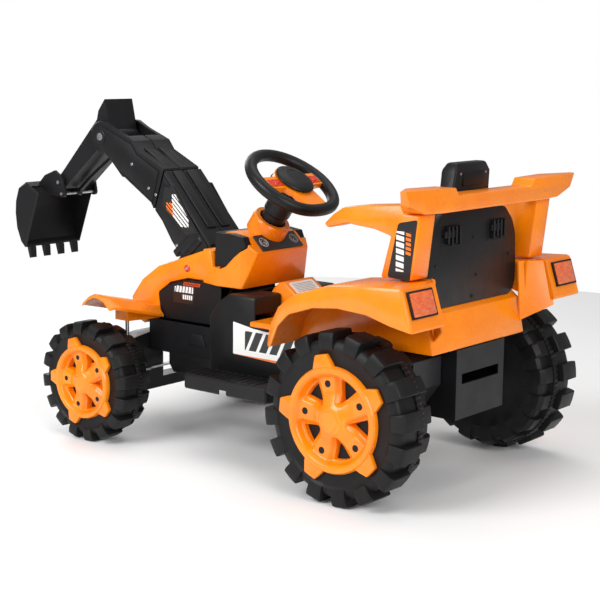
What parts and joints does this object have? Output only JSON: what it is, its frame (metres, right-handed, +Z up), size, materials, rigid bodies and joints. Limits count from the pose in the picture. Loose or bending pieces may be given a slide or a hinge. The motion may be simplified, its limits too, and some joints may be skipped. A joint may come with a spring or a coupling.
{
  "type": "ride on digger",
  "caption": "Child's ride-on toy excavator: blow-moulded wheels, steering wheel turning the front wheels, padded-back seat, and a boom with a hand-swung stick and bucket at the nose",
  "frame": {"origin": "centre of the digger's outline on the ground, midway between its front and rear ends and between its sides", "axes": "+X is the driver's left, +Y is the rear end of the digger, -Y the bucket, +Z is up; metres"},
  "size_m": [0.5832, 1.1902, 0.657],
  "materials": {
    "black_plastic": "black moulded plastic, satin with a fine grain",
    "orange_plastic": "orange moulded plastic, semi-gloss",
    "tyre_plastic": "black blow-moulded tyre plastic, satin",
    "grey_plastic": "dark grey moulded plastic",
    "red_plastic": "red moulded plastic",
    "lamp_red": "orange-red translucent lamp plastic",
    "steel": "zinc-plated steel"
  },
  "bodies": {
    "chassis": {"hood": "orange_plastic", "fender_front_left": "orange_plastic", "fender_front_right": "orange_plastic", "rear_body": "orange_plastic", "frame_left": "orange_plastic", "frame_right": "orange_plastic", "spoiler": "orange_plastic", "rear_axle": "steel", "drive_motor": "steel", "kingpin_left": "steel", "kingpin_right": "steel", "stick_pin": "steel", "link_pin": "steel", "battery": "grey_plastic", "gearbox": "grey_plastic", "dash_panel": "grey_plastic", "lamp_lens_left": "lamp_red", "lamp_lens_right": "lamp_red", "chassis_tub": "black_plastic", "step_left": "black_plastic", "step_right": "black_plastic", "front_beam": "black_plastic", "boom_socket": "black_plastic", "front_cowl": "black_plastic", "boom_lower_left": "black_plastic", "boom_lower_right": "black_plastic", "boom_upper_left": "black_plastic", "boom_upper_right": "black_plastic", "lamp_bezel_left": "black_plastic", "lamp_bezel_right": "black_plastic", "seat": "black_plastic", "seat_back_cover": "black_plastic", "pedal_bracket": "black_plastic"},
    "wheel_rear_left": {"tyre_rear_left": "tyre_plastic", "hub_rear_left": "orange_plastic"},
    "wheel_rear_right": {"tyre_rear_right": "tyre_plastic", "hub_rear_right": "orange_plastic"},
    "wheel_front_left": {"tyre_front_left": "tyre_plastic", "hub_front_left": "orange_plastic"},
    "wheel_front_right": {"tyre_front_right": "tyre_plastic", "hub_front_right": "orange_plastic"},
    "steer_knuckle_left": {"knuckle_left": "grey_plastic"},
    "steer_knuckle_right": {"knuckle_right": "grey_plastic"},
    "track_rod": {"tie_rod": "steel"},
    "steering": {"steering_rim": "black_plastic", "wheel_insert": "orange_plastic", "steering_stem": "black_plastic", "steering_shaft": "steel"},
    "horn": {"horn_pad": "black_plastic"},
    "button_left": {"wheel_button_left": "red_plastic"},
    "button_right": {"wheel_button_right": "red_plastic"},
    "dipper": {"stick": "black_plastic"},
    "bucket_body": {"bucket": "black_plastic", "bucket_pin": "steel", "bucket_link_pin": "steel"},
    "link_body": {"bucket_link": "black_plastic"},
    "pedal": {"foot_pedal": "red_plastic"},
    "switch_lever": {"direction_switch": "red_plastic"}
  },
  "joints": [
    {"name": "rear_wheel_left_spin", "type": "hinge", "parent": "chassis", "child": "wheel_rear_left", "pos_m": [0.237, 0.445, 0.15], "axis": [1, 0, 0], "continuous": true},
    {"name": "knuckle_left_steer", "type": "hinge", "parent": "chassis", "child": "steer_knuckle_left", "pos_m": [0.142, -0.186, 0.118], "axis": [0, 0, 1], "range_deg": [-22.1, 22.1]},
    {"name": "front_wheel_left_spin", "type": "hinge", "parent": "steer_knuckle_left", "child": "wheel_front_left", "pos_m": [0.2219, -0.186, 0.118], "axis": [1, 0, 0], "continuous": true},
    {"name": "rear_wheel_right_spin", "type": "hinge", "parent": "chassis", "child": "wheel_rear_right", "pos_m": [-0.237, 0.445, 0.15], "axis": [1, 0, 0], "continuous": true},
    {"name": "knuckle_right_steer", "type": "hinge", "parent": "chassis", "child": "steer_knuckle_right", "pos_m": [-0.142, -0.186, 0.118], "axis": [0, 0, 1], "range_deg": [-22.1, 22.1]},
    {"name": "front_wheel_right_spin", "type": "hinge", "parent": "steer_knuckle_right", "child": "wheel_front_right", "pos_m": [-0.2219, -0.186, 0.118], "axis": [1, 0, 0], "continuous": true},
    {"name": "steering_wheel_turn", "type": "hinge", "parent": "chassis", "child": "steering", "pos_m": [0, 0.123, 0.508], "axis": [0, 0.5664, 0.8241], "range_deg": [-40, 40]},
    {"name": "tie_rod_slide", "type": "slide", "parent": "chassis", "child": "track_rod", "axis": [-1, 0, 0], "range_m": [-0.0188, 0.0188]},
    {"name": "horn_press", "type": "slide", "parent": "steering", "child": "horn", "axis": [0, -0.5664, -0.8241], "range_m": [0, 0.002], "stiffness_N_per_m": 800, "springref_m": -0.002},
    {"name": "button_left_press", "type": "slide", "parent": "steering", "child": "button_left", "axis": [0, -0.5664, -0.8241], "range_m": [0, 0.0015], "stiffness_N_per_m": 400, "springref_m": -0.0015},
    {"name": "button_right_press", "type": "slide", "parent": "steering", "child": "button_right", "axis": [0, -0.5664, -0.8241], "range_m": [0, 0.0015], "stiffness_N_per_m": 400, "springref_m": -0.0015},
    {"name": "dipper_swing", "type": "hinge", "parent": "chassis", "child": "dipper", "pos_m": [0, -0.348, 0.58], "axis": [1, 0, 0], "range_deg": [-25, 22]},
    {"name": "bucket_tilt", "type": "hinge", "parent": "dipper", "child": "bucket_body", "pos_m": [0, -0.487, 0.476], "axis": [1, 0, 0], "range_deg": [-22.2, 25.2]},
    {"name": "link_swing", "type": "hinge", "parent": "chassis", "child": "link_body", "pos_m": [0, -0.338, 0.556], "axis": [1, 0, 0], "range_deg": [-25.2, 22.2]},
    {"name": "pedal_press", "type": "hinge", "parent": "chassis", "child": "pedal", "pos_m": [-0.161, 0.05, 0.16], "axis": [-1, 0, 0], "range_deg": [0, 9], "stiffness_Nm_per_rad": 1.5, "springref_deg": -6.88},
    {"name": "direction_switch_turn", "type": "hinge", "parent": "chassis", "child": "switch_lever", "pos_m": [-0.0464, 0.161, 0.29], "axis": [1, 0, 0], "range_deg": [-20, 20]}
  ],
  "couplings": [
    {"joint": "knuckle_left_steer", "follows": "steering_wheel_turn", "ratio": 0.55},
    {"joint": "knuckle_right_steer", "follows": "steering_wheel_turn", "ratio": 0.55},
    {"joint": "tie_rod_slide", "follows": "steering_wheel_turn", "m_per_rad": 0.0268},
    {"joint": "bucket_tilt", "follows": "dipper_swing", "ratio": -1},
    {"joint": "link_swing", "follows": "dipper_swing", "ratio": 1}
  ]
}
